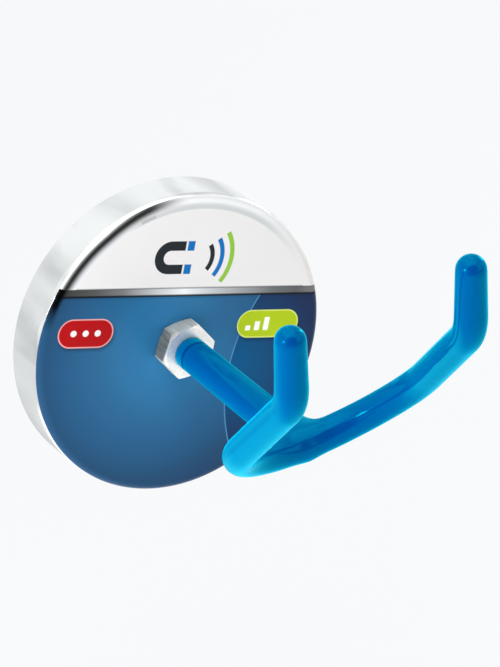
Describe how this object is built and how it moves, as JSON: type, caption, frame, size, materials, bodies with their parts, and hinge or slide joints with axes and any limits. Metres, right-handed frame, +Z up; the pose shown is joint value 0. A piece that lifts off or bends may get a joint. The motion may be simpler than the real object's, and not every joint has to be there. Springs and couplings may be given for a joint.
{
  "type": "magnetic holder",
  "caption": "Round pot magnet with a lock nut and a stem that carries a dip-coated fork with upturned prongs, to hang tools from a steel wall.",
  "frame": {"origin": "centre of the magnet's holding face, on the stem's axis", "axes": "+Y into the wall that the magnet holds to, the stem points along -Y to the front, +Z up, +X to the viewer's right across the fork"},
  "size_m": [0.08, 0.1302, 0.1047],
  "materials": {
    "chromed_steel": "bright chromed",
    "ferrite": "sintered, ground flat",
    "potting_resin": "cast, satin",
    "zinc_plated_steel": "bright zinc",
    "printed_vinyl": "printed, gloss laminate",
    "bare_steel": "drawn wire and weld metal",
    "blue_pvc": "dip moulded, glossy"
  },
  "bodies": {
    "magnet_base": {"steel_cup": "chromed_steel", "ring_magnet": "ferrite", "outer_resin_ring": "potting_resin", "inner_resin_ring": "potting_resin", "pole_bush": "zinc_plated_steel", "face_label": "printed_vinyl"},
    "hook": {"hook_stem": "bare_steel", "fork_rod": "bare_steel", "weld_bead": "bare_steel", "hook_coating": "blue_pvc"},
    "lock_nut": {"lock_nut": "zinc_plated_steel"}
  },
  "joints": [
    {"name": "hook_swivel", "type": "hinge", "parent": "magnet_base", "child": "hook", "pos_m": [0, -0.013, 0], "axis": [0, -1, 0], "range_deg": [-180, 180]},
    {"name": "lock_nut_turn", "type": "hinge", "parent": "hook", "child": "lock_nut", "pos_m": [0, -0.0157, 0], "axis": [0, -1, 0], "range_deg": [0, 60]}
  ]
}
